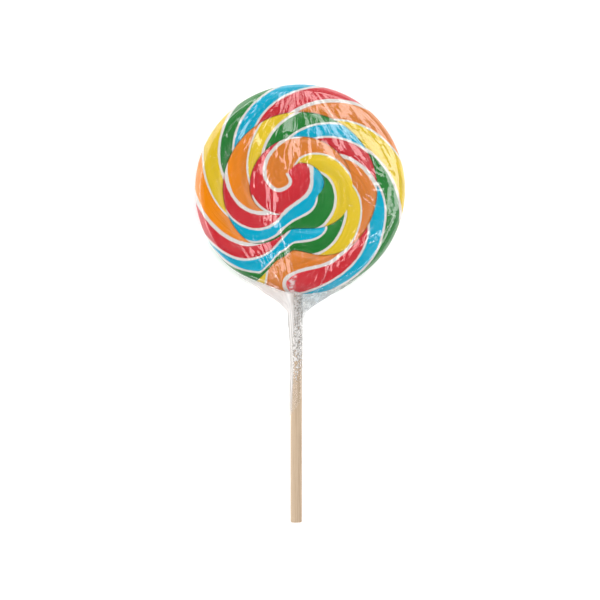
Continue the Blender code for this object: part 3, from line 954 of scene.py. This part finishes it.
def clearFilmMaterial():
    # clear polypropylene film: see-through, glossy on both faces
    material, tree = newMaterial("clear polypropylene film")
    fan = addNode(tree, "UVMap", {"uv_map": "fan"})
    ruffled = addNode(tree, "SeparateXYZ", Vector=addNode(tree, "UVMap", {"uv_map": "ruffles"}))
    reach = addNode(tree, "SeparateXYZ", Vector=fan).outputs[1]
    # long narrow facets, each tilted its own way
    layers = []
    for width, length, tilt in film["facetLayers"]:
        waver = addNode(tree, "TexNoise", Vector=fan, Scale=0.12, Detail=2.0)
        wavy = addNode(tree, "VectorMath", {"operation": "MULTIPLY_ADD"},
                       in0=waver.outputs["Color"], in1=(6.0, 0.0, 0.0), in2=fan)
        stretched = addNode(tree, "Mapping", Vector=wavy, Scale=(1 / width, 1 / length, 1.0))
        cells = addNode(tree, "TexVoronoi", {"voronoi_dimensions": "2D"}, Vector=stretched, Scale=1.0)
        offset = addNode(tree, "VectorMath", {"operation": "SUBTRACT"}, in0=stretched,
                         in1=cells.outputs["Position"])
        lean = addNode(tree, "VectorMath", {"operation": "SUBTRACT"}, in0=cells.outputs["Color"],
                       in1=(0.5, 0.5, 0.0))
        slope = addNode(tree, "VectorMath", {"operation": "DOT_PRODUCT"}, in0=offset, in1=lean)
        layers.append(addNode(tree, "Math", {"operation": "MULTIPLY"}, in0=slope.outputs["Value"],
                              in1=2 * tilt * math.radians(width)))
    relief = addNode(tree, "Math", {"operation": "ADD"}, in0=layers[0], in1=layers[1])
    ruffledRelief = addNode(tree, "Math", {"operation": "MULTIPLY"}, in0=relief, in1=ruffled)
    height = addNode(tree, "Math", {"operation": "MULTIPLY"}, in0=ruffledRelief, in1=reach)
    pleat = addNode(tree, "Bump", Strength=1.0, Distance=mm, Height=height)
    # both faces of the film reflect, and more at a slant
    slant = addNode(tree, "LayerWeight", Blend=0.5).outputs["Facing"]
    steep = addNode(tree, "Math", {"operation": "POWER"}, in0=slant, in1=5.0)
    share = addNode(tree, "Math", {"operation": "MULTIPLY_ADD"}, in0=steep, in1=film["gloss"][1],
                    in2=film["gloss"][0])
    clear = addNode(tree, "BsdfTransparent", in0=film["clear"])
    gloss = addNode(tree, "BsdfGlossy", in0=(1.0, 1.0, 1.0, 1.0), Roughness=0.06, Normal=pleat)
    single = addNode(tree, "MixShader", in0=share, in1=clear, in2=gloss)
    # gathered layers look milky, with painted light on the left and painted shade on the right
    haze = addNode(tree, "SeparateXYZ", Vector=addNode(tree, "UVMap", {"uv_map": "haze"}))
    tint = addNode(tree, "ValToRGB", Fac=haze.outputs[1])
    fillRamp(tint, [(place, linear(hue)) for place, hue in film["hazePaintedLightAndShade"]], "LINEAR")
    cloud = addNode(tree, "TexNoise", Vector=addNode(tree, "TexCoord").outputs["Object"],
                    Scale=1 / (film["cloudSize"] * mm), Detail=3.0)
    fleck = addNode(tree, "MapRange", {"interpolation_type": "SMOOTHSTEP"}, Value=cloud,
                    From_Min=0.42, From_Max=0.58, To_Min=-film["fleckDepth"], To_Max=0.0)
    flecked = addNode(tree, "SeparateXYZ", Vector=addNode(tree, "UVMap", {"uv_map": "flecks"}))
    opening = addNode(tree, "Math", {"operation": "MULTIPLY_ADD"}, in0=fleck, in1=flecked,
                      in2=film["hazeCover"])
    cover = addNode(tree, "Math", {"operation": "MULTIPLY"}, in0=haze, in1=opening)
    milky = addNode(tree, "BsdfPrincipled", Base_Color=tint, Roughness=0.35)
    gathered = addNode(tree, "MixShader", in0=cover, in1=single, in2=milky)
    addNode(tree, "OutputMaterial", Surface=gathered)
    return material


def buildPouch():
    # one continuous sheet, ring by ring from the disc's far side to the end of the tail
    piece, u, side = addSheet("filmPouch", film["around"], film["rings"])
    y = ringPlaces()[np.round(u * film["rings"]).astype(int)]
    swing = np.cos(2 * math.pi * side)
    level = np.interp(side, (0.0, 0.5, 1.0), (1.0, -1.0, 1.0))
    left, right = filmWidths(y)
    onTail = easeFrom(y, film["funnelTop"] + 4.0, -7.0)
    flatness = film["flatness"]
    blend = ((1 - flatness) * swing + flatness * level) * (1 - onTail) + swing * onTail
    x = np.where(blend > 0, right * blend, left * blend)
    # over the disc, and then down the funnel and the sleeve
    dome, inward = filmDome(x, y)
    rise, tube = neckShape(y)
    ellipse = tube + (film["funnelHalfHeight"] - film["neckRadius"]) * rise
    ellipse = ellipse * np.sqrt(np.maximum(1 - blend ** 2, 0.0))
    share = easeFrom(y, film["funnelTop"] + 3.0, -6.0)
    room = np.clip(inward * 2.5, 0.0, 1.0) * (1 - share)
    half = dome * (1 - share) + ellipse * share + pleats(x, y) * room
    # crumpled below the neck, and calmer further down
    often, length = film["crumpleSize"]
    crumple = latticeHeights(side * often + y * 0.12, y / length, 31) - 0.35
    calm = 1 - 0.9 * easeFrom(y, film["neck"] - 4.0, -8.0)
    swell = 1 + share * film["crumple"] * crumple * calm
    x = stickX + (x - stickX) * swell
    half = half * swell
    # the sleeve is cut off at a slant
    cut = np.clip((film["narrowAt"] - y) / (film["narrowAt"] - film["tailEnd"]), 0, 1)
    z = midHeight + np.where(side <= 0.5, 1.0, -1.0) * half
    z = np.clip(z, 0.02, wrapperTop + film["standProud"])
    placePoints(piece, x, y + film["tailSkew"] * swing * cut, z)
    writeFanMaps(piece, x, y, side)
    writeHazeMaps(piece, x, y, side)
    mergeDoubles(piece, 0.01)
    piece = joinPieces([piece] + [buildPinch(*pinch) for pinch in film["pinches"]])
    finishPiece(piece, film["sharpAngle"], clearFilmMaterial())
    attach(piece, "root")
    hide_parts("wrapper")
    return piece


# the layers gathered round the top of the stick
tail = {
    "top": -34.5,
    "end": -69.5,
    "radius": 2.1,
    "fold": 0.26,
    "around": 120,
    "rings": 260,
    "sharpAngle": 20.0,
    # painted light and shade of the crumpled film: its silvery highlights and its grey creases
    "pale": "#F3EFEC",
    "dark": "#B1ACA7",
    "creaseSize": (0.5, 0.6667, 0.5),
    "thinsOver": 0.42,     # the last share of its length
}


def gatheredFilmMaterial():
    # many layers of gathered film, its colour painted light and shade: silvery white highlights and grey
    # shade in the creases, as a noise
    material, tree = newMaterial("gathered film")
    place = addNode(tree, "TexCoord").outputs["Object"]
    stretched = addNode(tree, "Mapping", Vector=place, Rotation=(0.0, 0.0, 0.5),
                        Scale=[1 / (size * mm) for size in tail["creaseSize"]])
    cloud = addNode(tree, "TexNoise", Vector=stretched, Scale=1.0, Detail=3.0)
    grey = addNode(tree, "ValToRGB", Fac=cloud)
    fillRamp(grey, [(0.42, linear(tail["dark"])), (0.56, linear(tail["pale"]))], "LINEAR")
    # the crumple thins out over its last stretch, and lets the wood show
    cover = addNode(tree, "SeparateXYZ", Vector=addNode(tree, "UVMap", {"uv_map": "cover"}))
    uneven = addNode(tree, "Math", {"operation": "MULTIPLY_ADD"}, in0=cloud, in1=4.0, in2=-2.0)
    patchy = addNode(tree, "Math", {"operation": "ADD"}, in0=cover, in1=uneven)
    shown = addNode(tree, "MapRange", Value=patchy, From_Min=0.35, From_Max=0.65, To_Min=0.0, To_Max=0.95)
    shader = addNode(tree, "BsdfPrincipled", Base_Color=grey, Roughness=0.22, IOR=1.5, Alpha=shown)
    addNode(tree, "OutputMaterial", Surface=shader)
    return material


def buildGatheredTail():
    piece, u, v = addSheet("filmTail", tail["around"], tail["rings"])
    y = tail["top"] + (tail["end"] - tail["top"]) * u
    turn = 2 * math.pi * v
    # a whole number of cells a turn that divides the net of 64, so that it meets itself
    folds = 0.7 * latticeHeights(v * 32.0, u * 60.0, 77) + 0.3 * latticeHeights(v * 16.0, u * 23.0, 78)
    taper = easeStep(u / 0.05) * easeStep((1 - u) / 0.2)
    radius = tail["radius"] + tail["fold"] * folds * taper
    placePoints(piece, stickX + radius * np.cos(turn), y + 0.6 * folds, midHeight + radius * np.sin(turn))
    # it stays off the far left of the stick
    cover = easeFrom(2.0 * np.cos(turn), -1.6, 0.8) * easeStep((1 - u) / tail["thinsOver"])
    writeMap(piece, "cover", cover, u)
    mergeDoubles(piece, 0.01)
    finishPiece(piece, tail["sharpAngle"], gatheredFilmMaterial())
    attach(piece, "root")
    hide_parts("wrapper")
    return piece


filmPouch = buildPouch()
filmTail = buildGatheredTail()
print("film", len(filmPouch.data.polygons), len(filmTail.data.polygons), "faces")
